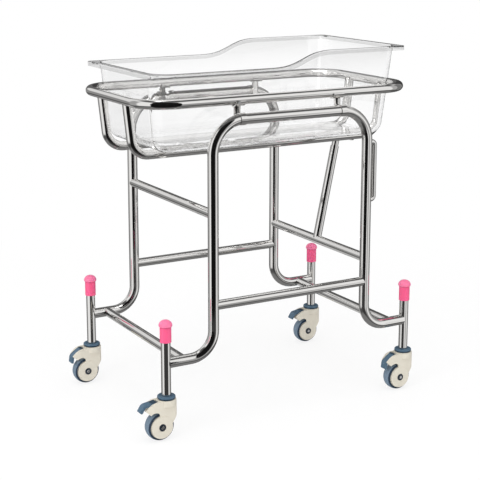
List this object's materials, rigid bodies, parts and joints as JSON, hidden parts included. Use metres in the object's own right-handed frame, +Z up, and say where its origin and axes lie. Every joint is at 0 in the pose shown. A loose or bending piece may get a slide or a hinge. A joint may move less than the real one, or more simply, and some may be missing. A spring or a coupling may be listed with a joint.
{
  "type": "hospital bassinet",
  "caption": "Newborn's cot on braked casters: a clear basin in a tilting tube cradle, on bent-tube side frames with cross bars and a telescopic strut.",
  "frame": {"origin": "centre of the bounding box, at the floor", "axes": "+Z up, +X along the length towards the head end (the basin's high rim), +Y to the left side"},
  "size_m": [0.8642, 0.53, 0.965],
  "materials": {
    "bright_tube": "bright chromed steel tube",
    "steel": "plain steel",
    "clear_plastic": "clear moulded plastic",
    "pink_cap": "pink push-on cap",
    "ivory_plastic": "ivory moulded plastic",
    "blue_grey_plastic": "blue-grey moulded plastic",
    "blue_grey_tread": "blue-grey rubber tread",
    "dark_plastic": "dark bush"
  },
  "bodies": {
    "frame": {"side_frame_right": "bright_tube", "side_rail_right": "bright_tube", "pivot_pin_right": "steel", "side_frame_left": "bright_tube", "side_rail_left": "bright_tube", "pivot_pin_left": "steel", "cross_bar_foot": "bright_tube", "end_bar_foot": "bright_tube", "cross_bar_head": "bright_tube", "end_bar_head": "bright_tube", "strut_tube": "bright_tube", "leg_rod": "bright_tube", "standoff_foot_right": "bright_tube", "corner_post_foot_right": "bright_tube", "post_cap_foot_right": "pink_cap", "swivel_collar_foot_right": "blue_grey_plastic", "standoff_foot_left": "bright_tube", "corner_post_foot_left": "bright_tube", "post_cap_foot_left": "pink_cap", "swivel_collar_foot_left": "blue_grey_plastic", "standoff_head_right": "bright_tube", "corner_post_head_right": "bright_tube", "post_cap_head_right": "pink_cap", "swivel_collar_head_right": "blue_grey_plastic", "standoff_head_left": "bright_tube", "corner_post_head_left": "bright_tube", "post_cap_head_left": "pink_cap", "swivel_collar_head_left": "blue_grey_plastic"},
    "cradle": {"cradle_ring": "bright_tube", "cradle_bar_right": "bright_tube", "cradle_bar_left": "bright_tube", "tie_bar": "bright_tube"},
    "strut_rod": {"strut_rod": "bright_tube"},
    "basin": {"basin": "clear_plastic"},
    "fork_foot_right": {"caster_housing_foot_right": "ivory_plastic", "axle_bush_foot_right": "dark_plastic", "axle_bolt_foot_right": "steel"},
    "wheel_foot_right": {"wheel_core_foot_right": "ivory_plastic", "wheel_tread_foot_right": "blue_grey_tread"},
    "pedal_foot_right": {"brake_pedal_foot_right": "blue_grey_plastic"},
    "fork_foot_left": {"caster_housing_foot_left": "ivory_plastic", "axle_bush_foot_left": "dark_plastic", "axle_bolt_foot_left": "steel"},
    "wheel_foot_left": {"wheel_core_foot_left": "ivory_plastic", "wheel_tread_foot_left": "blue_grey_tread"},
    "pedal_foot_left": {"brake_pedal_foot_left": "blue_grey_plastic"},
    "fork_head_right": {"caster_housing_head_right": "ivory_plastic", "axle_bush_head_right": "dark_plastic", "axle_bolt_head_right": "steel"},
    "wheel_head_right": {"wheel_core_head_right": "ivory_plastic", "wheel_tread_head_right": "blue_grey_tread"},
    "pedal_head_right": {"brake_pedal_head_right": "blue_grey_plastic"},
    "fork_head_left": {"caster_housing_head_left": "ivory_plastic", "axle_bush_head_left": "dark_plastic", "axle_bolt_head_left": "steel"},
    "wheel_head_left": {"wheel_core_head_left": "ivory_plastic", "wheel_tread_head_left": "blue_grey_tread"},
    "pedal_head_left": {"brake_pedal_head_left": "blue_grey_plastic"}
  },
  "joints": [
    {"name": "cradle_tilt", "type": "hinge", "parent": "frame", "child": "cradle", "pos_m": [-0.13339, 0, 0.848], "axis": [0, -1, 0], "range_deg": [0, 12]},
    {"name": "strut_slide", "type": "slide", "parent": "frame", "child": "strut_rod", "axis": [0.2097, 0, 0.9778], "range_m": [0, 0.09973]},
    {"name": "basin_lift", "type": "slide", "parent": "cradle", "child": "basin", "axis": [0, 0, 1], "range_m": [0, 0.25]},
    {"name": "swivel_foot_right", "type": "hinge", "parent": "frame", "child": "fork_foot_right", "pos_m": [-0.35439, -0.24, 0.1], "axis": [0, 0, 1], "continuous": true},
    {"name": "wheel_spin_foot_right", "type": "hinge", "parent": "fork_foot_right", "child": "wheel_foot_right", "pos_m": [-0.37539, -0.24, 0.0375], "axis": [0, 1, 0], "continuous": true},
    {"name": "pedal_foot_right", "type": "hinge", "parent": "fork_foot_right", "child": "pedal_foot_right", "pos_m": [-0.38939, -0.24, 0.0975], "axis": [0, -1, 0], "range_deg": [0, 26]},
    {"name": "swivel_foot_left", "type": "hinge", "parent": "frame", "child": "fork_foot_left", "pos_m": [-0.35439, 0.24, 0.1], "axis": [0, 0, 1], "continuous": true},
    {"name": "wheel_spin_foot_left", "type": "hinge", "parent": "fork_foot_left", "child": "wheel_foot_left", "pos_m": [-0.37539, 0.24, 0.0375], "axis": [0, 1, 0], "continuous": true},
    {"name": "pedal_foot_left", "type": "hinge", "parent": "fork_foot_left", "child": "pedal_foot_left", "pos_m": [-0.38939, 0.24, 0.0975], "axis": [0, -1, 0], "range_deg": [-26, 0]},
    {"name": "swivel_head_right", "type": "hinge", "parent": "frame", "child": "fork_head_right", "pos_m": [0.39161, -0.24, 0.1], "axis": [0, 0, 1], "continuous": true},
    {"name": "wheel_spin_head_right", "type": "hinge", "parent": "fork_head_right", "child": "wheel_head_right", "pos_m": [0.37061, -0.24, 0.0375], "axis": [0, 1, 0], "continuous": true},
    {"name": "pedal_head_right", "type": "hinge", "parent": "fork_head_right", "child": "pedal_head_right", "pos_m": [0.35661, -0.24, 0.0975], "axis": [0, -1, 0], "range_deg": [-26, 0]},
    {"name": "swivel_head_left", "type": "hinge", "parent": "frame", "child": "fork_head_left", "pos_m": [0.39161, 0.24, 0.1], "axis": [0, 0, 1], "continuous": true},
    {"name": "wheel_spin_head_left", "type": "hinge", "parent": "fork_head_left", "child": "wheel_head_left", "pos_m": [0.37061, 0.24, 0.0375], "axis": [0, 1, 0], "continuous": true},
    {"name": "pedal_head_left", "type": "hinge", "parent": "fork_head_left", "child": "pedal_head_left", "pos_m": [0.35661, 0.24, 0.0975], "axis": [0, -1, 0], "range_deg": [0, 26]}
  ],
  "couplings": [
    {"joint": "strut_slide", "follows": "cradle_tilt", "m_per_rad": 0.47474}
  ]
}
